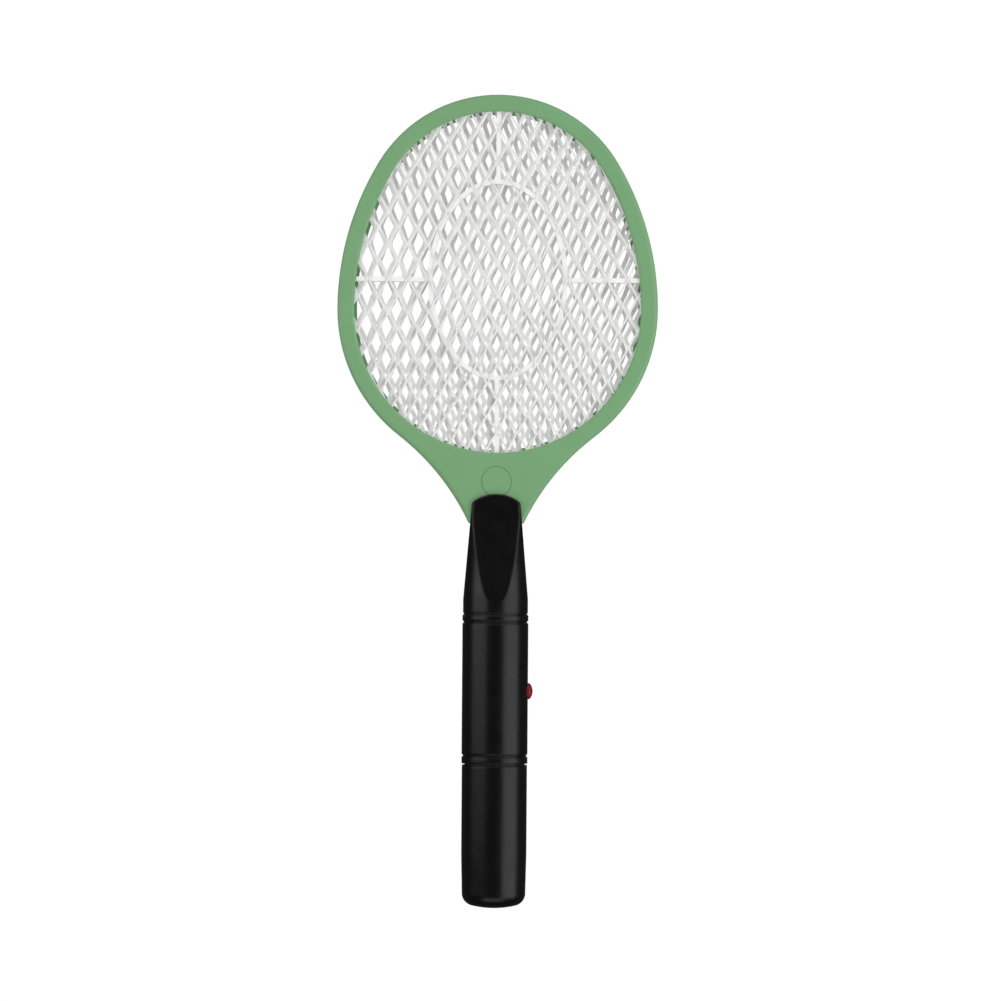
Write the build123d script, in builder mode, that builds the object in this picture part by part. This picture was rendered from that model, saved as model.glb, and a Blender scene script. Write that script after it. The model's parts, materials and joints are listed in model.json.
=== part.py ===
"""Electric fly swatter: a racket with three wire meshes on a battery handle.

Millimetres. +Z runs from the handle to the head, -Y is the front, and the button is on +X.
The origin is on the handle's axis, half-way along the grip between the button and the battery cover.
"""

import os
from math import atan2, cos, degrees, radians, sin, sqrt

from build123d import *

os.makedirs("parts", exist_ok=True)

# ---- driving dimensions: head ---------------------------------------------------------------

# The opening: a half circle below its widest line, and two side arcs and a top arc above.
OPENING_Z = 237.3
OPENING_HALF = 81.3
OPENING_RISE = 112.1
OPENING_TOP_RADIUS = 69.5
BAND = 9.5  # width of the green ring around the opening
THROAT_RADIUS = 136.0  # hollow curve from the ring to the handle
THROAT_TURN = 37.6  # degrees from the bottom of the ring to where that curve starts
SHOULDER_Z = 116.0  # where the throat stands on the handle
TAIL_HALF = 12.9  # the throat's tail, gripped inside the handle
TAIL_END_Z = 84.0

HEAD_HALF = 6.5  # half the head's thickness
FRAME_PLATE = 2.0
FRAME_WALL = 2.2
RING_ROUND = 2.4
LIP_ROUND = 1.6
BACK_LEDGE = 1.4  # the back half's opening is narrower by this much all round
EMBLEM_Z = 139.7  # a plain engraved ring on the throat
EMBLEM_R = 8.8
EMBLEM_LINE = 0.6
EMBLEM_DEPTH = 0.35

MESH_T = 0.5
MESH_GROW = 2.6  # how far the meshes reach behind the ring
MESH_BORDER = 0.8
MESH_TURN = 0.8  # degrees between the meshes' rows
MESH_STRETCH = 0.015
CELL_W = 11.3  # one diamond of the meshes
CELL_H = 19.3
WIRE_W = 0.9
TAB_W = 5.0
TAB_END_Z = 146.0
HV_TAB_X = -8.0
GROUND_TAB_X = 8.0
TERMINAL_W = 4.6
TERMINAL_H = 5.0
CLIP_FLOOR = 1.5

SPACER_NEAR = 1.0
SPACER_FAR = 3.0
RIB_Z = 254.1  # centre of the ribs' cross and ellipse
RIB_W = 2.7
ELLIPSE_X = 38.3
ELLIPSE_Z = 55.6

SCREW_LINE = 5.2  # the ring's screws, outside the opening's edge
THROAT_SCREWS = [(-24.0, 150.0), (24.0, 150.0)]
RING_SCREW_ANGLES = (8, 62, 118, 172, 218, 322)
RING_BOSS_R = 2.0
FRAME_SHANK_R = 0.95
FRAME_HEAD_R = 1.9
FRAME_HEAD_H = 1.2
FRAME_SCREW_L = 9.0
TAIL_BOSS_R = 3.2

# ---- driving dimensions: handle -------------------------------------------------------------

GRIP_R = 18.7
GRIP_END_Z = -20.0
NECK_R = 18.4
NECK_STRAIGHT_Z = 76.0
NECK_END_R = 15.0
NECK_ROUND = 60.0
FLANK_LOW_X, FLANK_LOW_Z = 19.9, 55.0  # flat flanks narrow the neck from here
FLANK_END_X = 12.7
TONGUE_TOP_Z = 132.7
TONGUE_ARC_R = 21.5
TONGUE_CORNER_R = 3.0
TONGUE_DEPTH = 8.7  # half the handle's depth at the tongue
TONGUE_ROUND = 1.0
TONGUE_LOW_Z = 124.5  # the depth is the tongue's own above this
RAMP_LOW_Z = 64.0
RAMP_HIGH_Z = 120.0
RAMP_LOW_ROUND = 80.0
RAMP_HIGH_ROUND = 40.0
FORM_END_Z = 140.0
UPPER_GROOVES_Z = (60.1, 64.7)
LOWER_GROOVE_Z = -15.6
GROOVE_R = 0.8
GROOVE_DEPTH = 0.7
SEAM = 0.3
SEAM_END_Z = 115.0
SHELL_BORE = 17.0
CAVITY_STRAIGHT_Z = 58.0
CAVITY_TOP_R = 13.4

HANDLE_SCREWS_Z = (104.0, 74.0, -8.0)
SCREW_SEAT_Y = 8.0
BOSS_R = 3.8
SHANK_R = 1.3
HANDLE_HEAD_R = 2.5
HANDLE_HEAD_H = 2.0
HANDLE_SCREW_L = 18.0
POSTS = [(-7.0, 53.5), (-7.0, 8.0)]  # they carry the circuit board
POST_R = 2.2
POST_L = 12.2
PIN_R = 0.9
ROOT = 0.5  # how far a boss or a key is rooted in the wall behind it

COVER_R = 18.5
COVER_BORE = 16.9
COVER_TOP_Z = -20.9
COVER_END_Z = -102.1
COVER_FLOOR_Z = -98.2
BARREL_END_Z = -72.0  # the cover is straight down to here, then narrows a little
COVER_END_R = 17.9
COVER_WAIST_ROUND = 200.0
DOME_RISE = 3.1
DOME_CORNER = 7.0
COVER_FLOOR_ROUND = 5.0
COVER_CHAMFER = 0.3

# ---- driving dimensions: button and electrics -----------------------------------------------

BUTTON_Z = 21.0
BUTTON_R = 4.6
BUTTON_PROUD = 2.7
BUTTON_DOME = 1.8
BUTTON_ROUND = 1.0
BUTTON_HOLE_FROM_X = 12.0
FLANGE_X = 15.9
FLANGE_T = 1.1
FLANGE_R = 5.3
STEM_R = 1.6
STEM_END_X = 10.4
PLUNGER_L = 2.9
BUTTON_COIL_R = 2.5
BUTTON_COIL_WIRE_R = 0.25
BUTTON_COIL_TURNS = 5
SWITCH_FACE_X = 8.8
SWITCH_BORE = 2.8
SWITCH_CHAMFER = 0.4
SWITCH_LEADS = [(4.5, 19.0), (4.5, 23.0)]

BOARD_Y = 3.0  # the circuit board's front face
BOARD_T = 1.2
BOARD_LEFT_X = -12.0
BOARD_LOW_Z = 2.0
BOARD_H = 56.0
LEAD_R = 0.3
LEAD_L = 2.2

CORE_X, CORE_Y, CORE_Z = -4.0, -2.5, 43.0
CORE_W, CORE_H = 16.0, 17.0
CORE_LEG = 4.0
CORE_GAP = 4.2
CORE_YOKE = 2.3
BOBBIN_W = 12.0
BOBBIN_H = 12.2
BOBBIN_T = 1.0
HUB_W = 5.6
WINDING_W = 10.6
WINDING_ROUND = 2.0
TRANSFORMER_LEADS = [(-8.0, 37.4), (-8.0, 48.6), (0.0, 37.4), (0.0, 48.6)]

FILM_X, FILM_Z = -8.5, 22.0
FILM_W, FILM_D, FILM_H = 6.0, 10.0, 18.0
FILM_STANDOFF = 0.3
DIPPED_ROUND = 0.8  # edges of the dipped capacitors
FILM_LEADS = [(-8.5, 15.0), (-8.5, 29.0)]

DISC_X, DISC_Y = -1.5, -1.4
DISC_Z = (20.0, 28.0)
DISC_R = 3.8
DISC_T = 2.4
DISC_LEADS = [(x, z) for z in DISC_Z for x in (DISC_X - 2.5, DISC_X + 2.5)]

AXIAL_X = (-3.0, 7.0)
DIODE_Z = (5.5, 9.5, 13.5)
DIODE_R, DIODE_L = 1.3, 4.6
RESISTOR_R, RESISTOR_L = 1.1, 6.0
RESISTOR_ENDS = [((6.5, 35.0), (6.5, 45.0)), ((6.5, 47.0), (6.5, 57.0)), ((-3.0, 16.6), (7.0, 16.6))]

TRANSISTOR_X, TRANSISTOR_Z = 5.2, 29.5
TRANSISTOR_R = 2.4
TRANSISTOR_STANDOFF = 1.2
TRANSISTOR_LEADS = [(TRANSISTOR_X + step, TRANSISTOR_Z) for step in (-1.27, 0, 1.27)]

# ---- driving dimensions: batteries and their holder -----------------------------------------

CELL_R = 7.1
CELL_X = 7.5
CELL_BODY = 48.8
CELL_ROUND = 0.6
NUB_R = 2.75
NUB_H = 1.2
POCKET_TOP_Z = -33.0
POCKET_END_Z = -91.0
POCKET_GAP = 0.2
TRAY_WALL = 1.6
TRAY_R = 16.2
TRAY_BACK_W = 24.0
TRAY_BACK_H = 57.0
SPIGOT_R = 16.85
SPIGOT_END_Z = -30.0
HOLDER_END_Z = -94.0
HOLDER_TOP_Z = -4.0
HOLDER_HEAD_R = 16.95
CUP_R = 14.9
CUP_FLOOR_Z = -30.0
KEYWAY_Y = 15.7
KEY_W = 2.0
KEY_L = 68.0
CONTACT_W = 9.0
CONTACT_TAB_W = 3.0
CONTACT_TAB_L = 6.0
CONTACT_SLOT_H = 4.0
CONTACT_COIL_R = 4.0
CONTACT_COIL_WIRE_R = 0.4
CONTACT_COIL_TURNS = 4
CONTACT_CONE = -12

PLATE_T = 0.5  # every sheet metal contact and terminal
FIT = 0.05
CLEARANCE = 0.2

# ---- driving dimensions: wires --------------------------------------------------------------

WIRE_R = 0.7
TAB_TOP_Z = POCKET_TOP_Z + CONTACT_TAB_L
BOARD_BACK = BOARD_Y + BOARD_T
POSITIVE_PATH = [
    (-CELL_X, 0, TAB_TOP_Z),
    (-CELL_X, 0, -17),
    (-9.5, 8, -6),
    (-10.5, 8, 5),
    (-10.5, BOARD_BACK, 5),
]
NEGATIVE_PATH = [
    (CELL_X, 0, TAB_TOP_Z),
    (CELL_X, 0, -17),
    (6.5, 8, -6),
    (5, 8, 5),
    (5, BOARD_BACK, 5),
]
BATTERY_WIRE_BENDS = [7, 7, 3]
# From the board's back, past the bosses and through the tail: these are the right-hand wire's.
HEAD_PATH = [
    (3, BOARD_BACK, 56.5),
    (3, 9, 56.5),
    (6.5, 9, 66),
    (7, 3, 80),
    (6.5, 0, 92),
    (8, 0, 130),
]
HEAD_WIRE_BENDS = [3.5, 6, 25, 40, 120]

# ---- derived sizes --------------------------------------------------------------------------

SIDE_RADIUS = (OPENING_HALF**2 + OPENING_RISE**2 - 2 * OPENING_RISE * OPENING_TOP_RADIUS) / (
    2 * (OPENING_HALF - OPENING_TOP_RADIUS)
)
SIDE_X = SIDE_RADIUS - OPENING_HALF  # the side arcs' centres lie this far past the middle
TOP_CENTRE_Z = OPENING_Z + OPENING_RISE - OPENING_TOP_RADIUS
SIDE_SWEEP = degrees(atan2(TOP_CENTRE_Z - OPENING_Z, SIDE_X))
PLATE_Y = HEAD_HALF - FRAME_PLATE  # inner face of a frame's plate
SPACER_Y = PLATE_Y - MESH_T
SPACER_T = SPACER_Y - MESH_T / 2
TAIL_SCREW_Z = HANDLE_SCREWS_Z[0]
BOSSES_Z = HANDLE_SCREWS_Z[1:]
AXIAL_LEADS = [(x, z) for z in DIODE_Z for x in AXIAL_X] + [end for ends in RESISTOR_ENDS for end in ends]
LEAD_PLACES = [*TRANSFORMER_LEADS, *FILM_LEADS, *DISC_LEADS, *AXIAL_LEADS, *TRANSISTOR_LEADS]

STANDING = (Align.CENTER, Align.CENTER, Align.MIN)
ON_Y = (Align.CENTER, Align.MIN, Align.MIN)


def finish(builder, name):
    """Label a finished piece and write it."""
    builder.part.label = name
    export_step(builder.part, f"parts/{name}.step")


# ---- outlines of the head -------------------------------------------------------------------


def upper_arcs(grow):
    """The side arcs and the top arc of the opening, grown outwards."""
    CenterArc((-SIDE_X, OPENING_Z), SIDE_RADIUS + grow, 0, SIDE_SWEEP)
    CenterArc((0, TOP_CENTRE_Z), OPENING_TOP_RADIUS + grow, SIDE_SWEEP, 180 - 2 * SIDE_SWEEP)
    CenterArc((SIDE_X, OPENING_Z), SIDE_RADIUS + grow, 180 - SIDE_SWEEP, SIDE_SWEEP)


def opening_outline(grow):
    """The opening's outline, grown outwards."""
    with BuildSketch() as outline:
        with BuildLine():
            upper_arcs(grow)
            CenterArc((0, OPENING_Z), OPENING_HALF + grow, 180, 180)
        make_face()
    return outline.sketch


def rim_point(angle):
    """A point on the ring's screw line, at an angle about the nearest arc's own centre."""
    if angle > 180:
        centre_x, centre_z, radius = 0, OPENING_Z, OPENING_HALF
    elif angle < SIDE_SWEEP:
        centre_x, centre_z, radius = -SIDE_X, OPENING_Z, SIDE_RADIUS
    elif angle > 180 - SIDE_SWEEP:
        centre_x, centre_z, radius = SIDE_X, OPENING_Z, SIDE_RADIUS
    else:
        centre_x, centre_z, radius = 0, TOP_CENTRE_Z, OPENING_TOP_RADIUS
    reach = radius + SCREW_LINE
    return centre_x + reach * cos(radians(angle)), centre_z + reach * sin(radians(angle))


FRAME_SCREWS = [rim_point(angle) for angle in RING_SCREW_ANGLES] + THROAT_SCREWS


def head_outline(inset, tail_end):
    """Ring, throat and tail in one outline, drawn inwards by an inset."""
    grow = BAND - inset
    reach = OPENING_HALF + BAND + THROAT_RADIUS
    centre_x = reach * sin(radians(THROAT_TURN))
    centre_z = OPENING_Z - reach * cos(radians(THROAT_TURN))
    radius = THROAT_RADIUS + inset
    rise = SHOULDER_Z + inset - centre_z
    start = 90 + THROAT_TURN
    end = 180 - degrees(atan2(rise, sqrt(radius**2 - rise**2)))
    tail = TAIL_HALF - inset
    shoulder = SHOULDER_Z + inset
    with BuildSketch() as outline:
        with BuildLine():
            upper_arcs(grow)
            CenterArc((0, OPENING_Z), OPENING_HALF + grow, 180, 90 - THROAT_TURN)
            CenterArc((0, OPENING_Z), OPENING_HALF + grow, 270 + THROAT_TURN, 90 - THROAT_TURN)
            right = CenterArc((centre_x, centre_z), radius, start, end - start)
            left = CenterArc((-centre_x, centre_z), radius, 180 - start, start - end)
            Polyline(right @ 1, (tail, shoulder), (tail, tail_end))
            Polyline((tail, tail_end), (-tail, tail_end), (-tail, shoulder), left @ 1)
        make_face()
    return outline.sketch


def mesh_outline(turn, stretch, tab_x):
    """A diamond wire mesh seen flat, with its narrow border and its soldering tab."""
    side = CELL_W * CELL_H / (2 * sqrt(CELL_W**2 + CELL_H**2))
    shrink = 1 - WIRE_W / side
    half_w = CELL_W * stretch / 2 * shrink
    half_h = CELL_H / 2 * shrink
    columns, rows = 17, 12
    smallest_hole = 3.0
    rim_z = OPENING_Z - OPENING_HALF
    with BuildSketch() as holes:
        with Locations(Location((0, RIB_Z - CELL_H / 2, 0), (0, 0, turn))):
            with GridLocations(CELL_W * stretch, CELL_H, columns, rows):
                Polygon((half_w, 0), (0, half_h), (-half_w, 0), (0, -half_h))
            with GridLocations(CELL_W * stretch, CELL_H, columns + 1, rows + 1):
                Polygon((half_w, 0), (0, half_h), (-half_w, 0), (0, -half_h))
        add(opening_outline(MESH_GROW - MESH_BORDER), mode=Mode.INTERSECT)
    with BuildSketch() as outline:
        add(opening_outline(MESH_GROW))
        with Locations((tab_x, (TAB_END_Z + rim_z) / 2)):
            Rectangle(TAB_W, rim_z - TAB_END_Z)
        add([hole for hole in holes.faces() if hole.area > smallest_hole], mode=Mode.SUBTRACT)
    return outline.sketch


def rib_openings():
    """What stays open between the spacer's ring, cross and ellipse."""
    with BuildSketch() as openings:
        add(opening_outline(SPACER_NEAR))
        with Locations((0, RIB_Z)):
            Rectangle(3 * OPENING_HALF, RIB_W, mode=Mode.SUBTRACT)
            Rectangle(RIB_W, 3 * OPENING_RISE, mode=Mode.SUBTRACT)
            Ellipse(ELLIPSE_X + RIB_W / 2, ELLIPSE_Z + RIB_W / 2, mode=Mode.SUBTRACT)
            Ellipse(ELLIPSE_X - RIB_W / 2, ELLIPSE_Z - RIB_W / 2)
    return openings.sketch


# ---- head: frames ---------------------------------------------------------------------------


def face_arcs(half, side):
    """The arcs on a frame half's outer face."""
    face_y = -side * HEAD_HALF
    flat = half.edges().filter_by_position(Axis.Y, face_y - FIT, face_y + FIT)
    return flat.filter_by(GeomType.CIRCLE)


def along_opening(edge):
    """True for an edge that runs round the opening, rather than round the outside."""
    middle = edge @ 0.5
    centre_z = OPENING_Z if middle.Z < TOP_CENTRE_Z else TOP_CENTRE_Z
    return sqrt(middle.X**2 + (middle.Z - centre_z) ** 2) < OPENING_HALF + BAND / 3


def frame_half(side):
    """Half of the head's green moulding: side is 1 for the front, -1 for the back."""
    with BuildPart() as half:
        with BuildSketch(Plane.XZ):
            add(head_outline(0, TAIL_END_Z))
        extrude(amount=side * HEAD_HALF)
        fillet(face_arcs(half, side), radius=RING_ROUND)
        with BuildSketch(Plane.XZ):
            add(head_outline(FRAME_WALL, TAIL_END_Z - FRAME_WALL))
        extrude(amount=side * PLATE_Y, mode=Mode.SUBTRACT)
        with BuildSketch(Plane.XZ):
            add(opening_outline(0 if side > 0 else -BACK_LEDGE))
        extrude(amount=side * HEAD_HALF, mode=Mode.SUBTRACT)
        fillet(face_arcs(half, side).filter_by(along_opening), radius=LIP_ROUND)
        with BuildSketch(Plane.XZ):
            with Locations(*FRAME_SCREWS):
                Circle(RING_BOSS_R)
            with Locations((0, TAIL_SCREW_Z)):
                Circle(TAIL_BOSS_R)
        extrude(amount=side * (PLATE_Y + FIT))
        with BuildSketch(Plane.XZ):
            with Locations((0, TAIL_SCREW_Z)):
                Circle(SHANK_R + CLEARANCE)
        extrude(amount=side * HEAD_HALF, mode=Mode.SUBTRACT)
    return half.part


with BuildPart() as frame_front:
    add(frame_half(1))
    with BuildSketch(Plane.XZ):
        with Locations(*FRAME_SCREWS):
            Circle(FRAME_SHANK_R + FIT)
    extrude(amount=HEAD_HALF - FRAME_HEAD_H, mode=Mode.SUBTRACT)
    with BuildSketch(Plane.XZ.offset(HEAD_HALF)):
        with Locations((0, EMBLEM_Z)):
            Circle(EMBLEM_R)
            Circle(EMBLEM_R - EMBLEM_LINE, mode=Mode.SUBTRACT)
    extrude(amount=-EMBLEM_DEPTH, mode=Mode.SUBTRACT)
finish(frame_front, "frame_front")

with BuildPart() as frame_back:
    add(frame_half(-1))
    with BuildSketch(Plane.XZ):
        with Locations(*FRAME_SCREWS):
            Circle(FRAME_SHANK_R + CLEARANCE)
    extrude(amount=-HEAD_HALF, mode=Mode.SUBTRACT)
    with BuildSketch(Plane.XZ.offset(-HEAD_HALF)):
        with Locations(*FRAME_SCREWS):
            Circle(FRAME_HEAD_R + CLEARANCE)
    extrude(amount=FRAME_HEAD_H + CLEARANCE, mode=Mode.SUBTRACT)
finish(frame_back, "frame_back")


def screw(head_r, head_h, shank_r, length):
    """A pan-head screw whose shank points to -Z from the head's seat, with a cross recess."""
    slot = head_r / 3
    with BuildPart() as one:
        Cylinder(head_r, head_h, align=(Align.CENTER, Align.CENTER, Align.MIN))
        fillet(one.edges().group_by(Axis.Z)[-1], radius=head_h / 2.5)
        with BuildSketch(Plane.XY.offset(head_h)):
            Rectangle(head_r * 1.2, slot)
            Rectangle(slot, head_r * 1.2)
        extrude(amount=-head_h / 2, mode=Mode.SUBTRACT)
        Cylinder(shank_r, length, align=(Align.CENTER, Align.CENTER, Align.MAX))
        chamfer(one.edges().group_by(Axis.Z)[0], length=shank_r / 2)
    return one.part


def screw_places(points, seat_y):
    """Where screws stand that are driven from the back, towards -Y."""
    return [Location((x, seat_y, z), (-90, 0, 0)) for x, z in points]


with BuildPart() as frame_screws:
    with Locations(*screw_places(FRAME_SCREWS, HEAD_HALF - FRAME_HEAD_H - CLEARANCE)):
        add(screw(FRAME_HEAD_R, FRAME_HEAD_H, FRAME_SHANK_R, FRAME_SCREW_L))
finish(frame_screws, "frame_screws")


# ---- head: meshes, spacers and their terminals ----------------------------------------------

with BuildPart() as mesh_front:
    with BuildSketch(Plane.XZ.offset(SPACER_Y)):
        add(mesh_outline(0, 1, GROUND_TAB_X))
    extrude(amount=MESH_T)
finish(mesh_front, "mesh_front")

with BuildPart() as mesh_centre:
    with BuildSketch(Plane.XZ.offset(-MESH_T / 2)):
        add(mesh_outline(MESH_TURN, 1 - MESH_STRETCH, HV_TAB_X))
    extrude(amount=MESH_T)
finish(mesh_centre, "mesh_centre")

with BuildPart() as mesh_back:
    with BuildSketch(Plane.XZ.offset(-SPACER_Y - MESH_T)):
        add(mesh_outline(-MESH_TURN, 1 + MESH_STRETCH, GROUND_TAB_X))
    extrude(amount=MESH_T)
finish(mesh_back, "mesh_back")

with BuildPart() as spacer_front:
    with BuildSketch(Plane.XZ.offset(MESH_T / 2)):
        add(opening_outline(SPACER_FAR))
        add(rib_openings(), mode=Mode.SUBTRACT)
    extrude(amount=SPACER_T)
finish(spacer_front, "spacer_front")

with BuildPart() as spacer_back:
    with BuildSketch(Plane.XZ.offset(-MESH_T / 2)):
        add(opening_outline(SPACER_FAR))
        add(rib_openings(), mode=Mode.SUBTRACT)
    extrude(amount=-SPACER_T)
finish(spacer_back, "spacer_back")

with BuildPart() as hv_terminal:
    with Locations((HV_TAB_X, 0, TAB_END_Z - CLIP_FLOOR)):
        Box(TERMINAL_W, 4 * MESH_T, TERMINAL_H, align=STANDING)
    with Locations((HV_TAB_X, 0, TAB_END_Z)):
        Box(TAB_W, MESH_T, TERMINAL_H, align=STANDING, mode=Mode.SUBTRACT)
finish(hv_terminal, "hv_terminal")

with BuildPart() as ground_terminal:
    with Locations((GROUND_TAB_X, 0, TAB_END_Z - PLATE_T)):
        Box(TERMINAL_W, 2 * SPACER_Y, TERMINAL_H, align=STANDING)
    with Locations((GROUND_TAB_X, 0, TAB_END_Z)):
        Box(TERMINAL_W, 2 * (SPACER_Y - PLATE_T), TERMINAL_H, align=STANDING, mode=Mode.SUBTRACT)
finish(ground_terminal, "ground_terminal")


# ---- handle shells --------------------------------------------------------------------------


def handle_profile():
    """Half of the handle's turned outline, from the axis outwards."""
    foot = UPPER_GROOVES_Z[1]
    with BuildSketch() as profile:
        with BuildLine():
            Polyline(
                (0, GRIP_END_Z),
                (GRIP_R, GRIP_END_Z),
                (GRIP_R, foot),
                (NECK_R, foot),
                (NECK_R, NECK_STRAIGHT_Z),
                (NECK_END_R, FORM_END_Z),
                (0, FORM_END_Z),
                close=True,
            )
        make_face()
        bend = profile.vertices().filter_by_position(Axis.Y, NECK_STRAIGHT_Z - 1, NECK_STRAIGHT_Z + 1)
        fillet(bend, radius=NECK_ROUND)
    return profile.sketch


def flank_outline():
    """The handle's limits as seen from the front: the neck's flanks close in on the tongue."""
    with BuildSketch() as outline:
        with BuildLine():
            Polyline(
                (FLANK_LOW_X, GRIP_END_Z),
                (FLANK_LOW_X, FLANK_LOW_Z),
                (FLANK_END_X, FORM_END_Z),
                (-FLANK_END_X, FORM_END_Z),
                (-FLANK_LOW_X, FLANK_LOW_Z),
                (-FLANK_LOW_X, GRIP_END_Z),
                close=True,
            )
        make_face()
    return outline.sketch


def side_profile():
    """The handle from the side: round at the grip, a ramp on the neck, a thin tongue."""
    with BuildSketch() as profile:
        with BuildLine():
            Polyline(
                (0, GRIP_END_Z),
                (GRIP_R + 1, GRIP_END_Z),
                (GRIP_R + 1, RAMP_LOW_Z),
                (TONGUE_DEPTH, RAMP_HIGH_Z),
                (TONGUE_DEPTH, FORM_END_Z),
                (0, FORM_END_Z),
                close=True,
            )
        make_face()
        corners = profile.vertices()
        fillet(corners.filter_by_position(Axis.Y, RAMP_LOW_Z - 1, RAMP_LOW_Z + 1), radius=RAMP_LOW_ROUND)
        fillet(corners.filter_by_position(Axis.Y, RAMP_HIGH_Z - 1, RAMP_HIGH_Z + 1), radius=RAMP_HIGH_ROUND)
        mirror(about=Plane.YZ)
    return profile.sketch


with BuildPart() as front_form:
    with BuildSketch(Plane.XZ) as tongue_outline:
        with Locations((0, TONGUE_TOP_Z - TONGUE_ARC_R)):
            Circle(TONGUE_ARC_R)
            Rectangle(2 * TONGUE_ARC_R, TONGUE_ARC_R, align=(Align.CENTER, Align.MIN), mode=Mode.INTERSECT)
        add(flank_outline(), mode=Mode.INTERSECT)
        fillet(tongue_outline.vertices().group_by(Axis.Y)[-1], radius=TONGUE_CORNER_R)
    extrude(amount=TONGUE_DEPTH, both=True)
    faces = front_form.faces().filter_by(Axis.Y)
    fillet(faces.edges().filter_by(GeomType.CIRCLE), radius=TONGUE_ROUND)
    with BuildSketch(Plane.XZ):
        add(flank_outline())
        with Locations((0, TONGUE_LOW_Z)):
            Rectangle(3 * GRIP_R, FORM_END_Z, align=(Align.CENTER, Align.MIN), mode=Mode.SUBTRACT)
    extrude(amount=GRIP_R + 1, both=True)

GROOVES = [(GRIP_R + GROOVE_R - GROOVE_DEPTH, z) for z in (*UPPER_GROOVES_Z, LOWER_GROOVE_Z)]

with BuildPart() as handle_form:
    with BuildSketch(Plane.XZ):
        add(handle_profile())
    revolve(axis=Axis.Z)
    with BuildSketch(Plane.YZ):
        add(side_profile())
    extrude(amount=GRIP_R + 1, both=True, mode=Mode.INTERSECT)
    add(front_form.part, mode=Mode.INTERSECT)
    with BuildSketch(Plane.XZ):
        with Locations(*GROOVES):
            Circle(GROOVE_R)
    revolve(axis=Axis.Z, mode=Mode.SUBTRACT)
    with BuildSketch(Plane.XZ):
        add(handle_profile())
        mirror(about=Plane.YZ)
        add(flank_outline(), mode=Mode.INTERSECT)
        offset(amount=-SEAM, mode=Mode.SUBTRACT)
        with Locations((0, (SEAM_END_Z + GRIP_END_Z) / 2)):
            Rectangle(3 * GRIP_R, SEAM_END_Z - GRIP_END_Z - 2 * SEAM, mode=Mode.INTERSECT)
    extrude(amount=SEAM / 2, both=True, mode=Mode.SUBTRACT)

with BuildPart() as cavity:
    with BuildSketch(Plane.XZ):
        with BuildLine():
            Polyline(
                (0, GRIP_END_Z),
                (SHELL_BORE, GRIP_END_Z),
                (SHELL_BORE, CAVITY_STRAIGHT_Z),
                (CAVITY_TOP_R, TAIL_END_Z),
                (0, TAIL_END_Z),
                close=True,
            )
        make_face()
    revolve(axis=Axis.Z)
    with BuildSketch(Plane.XZ):
        with Locations((0, TAIL_END_Z)):
            Rectangle(2 * (TAIL_HALF + 2 * FIT), FORM_END_Z - TAIL_END_Z, align=(Align.CENTER, Align.MIN))
        with Locations((0, SHOULDER_Z)):
            Rectangle(3 * GRIP_R, FORM_END_Z - SHOULDER_Z, align=(Align.CENTER, Align.MIN))
    extrude(amount=HEAD_HALF + FIT, both=True)

with BuildPart() as button_hole:
    with BuildSketch(Plane.YZ.offset(BUTTON_HOLE_FROM_X)):
        with Locations((0, BUTTON_Z)):
            Circle(BUTTON_R + CLEARANCE)
    extrude(amount=GRIP_R)


def wall_at(z):
    """Radius at which a boss inside the shells is rooted in the wall."""
    taper = (z - CAVITY_STRAIGHT_Z) * (SHELL_BORE - CAVITY_TOP_R) / (TAIL_END_Z - CAVITY_STRAIGHT_Z)
    return SHELL_BORE - max(0, taper) + ROOT


with BuildPart() as handle_front_shell:
    add(handle_form.part)
    split(bisect_by=Plane.XZ, keep=Keep.TOP)
    add(cavity.part, mode=Mode.SUBTRACT)
    add(button_hole.part, mode=Mode.SUBTRACT)
    for z in BOSSES_Z:
        with BuildSketch(Plane.XZ):
            with Locations((0, z)):
                Circle(BOSS_R)
        extrude(amount=wall_at(z))
    with BuildSketch(Plane.XZ):
        with Locations(*[(0, z) for z in HANDLE_SCREWS_Z]):
            Circle(SHANK_R + FIT)
    extrude(amount=HANDLE_SCREW_L - SCREW_SEAT_Y + PLATE_T, mode=Mode.SUBTRACT)
finish(handle_front_shell, "handle_front_shell")

with BuildPart() as handle_back_shell:
    add(handle_form.part)
    split(bisect_by=Plane.XZ, keep=Keep.BOTTOM)
    add(cavity.part, mode=Mode.SUBTRACT)
    add(button_hole.part, mode=Mode.SUBTRACT)
    for z in BOSSES_Z:
        with BuildSketch(Plane.XZ):
            with Locations((0, z)):
                Circle(BOSS_R)
        extrude(amount=-wall_at(z))
    with BuildSketch(Plane.XZ):
        with Locations(*[(0, z) for z in HANDLE_SCREWS_Z]):
            Circle(SHANK_R + CLEARANCE)
    extrude(amount=-SCREW_SEAT_Y, mode=Mode.SUBTRACT)
    with BuildSketch(Plane.XZ.offset(-SCREW_SEAT_Y)):
        with Locations(*[(0, z) for z in HANDLE_SCREWS_Z]):
            Circle(HANDLE_HEAD_R + CLEARANCE)
    extrude(amount=-GRIP_R, mode=Mode.SUBTRACT)
    with BuildSketch(Plane.XZ.offset(-BOARD_Y - BOARD_T)):
        with Locations(*POSTS):
            Circle(POST_R)
    extrude(amount=-POST_L)
    with BuildSketch(Plane.XZ.offset(-BOARD_Y)):
        with Locations(*POSTS):
            Circle(PIN_R)
    extrude(amount=-2 * BOARD_T)
finish(handle_back_shell, "handle_back_shell")

with BuildPart() as handle_screws:
    with Locations(*screw_places([(0, z) for z in HANDLE_SCREWS_Z], SCREW_SEAT_Y)):
        add(screw(HANDLE_HEAD_R, HANDLE_HEAD_H, SHANK_R, HANDLE_SCREW_L))
finish(handle_screws, "handle_screws")


# ---- button and switch ----------------------------------------------------------------------

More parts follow.
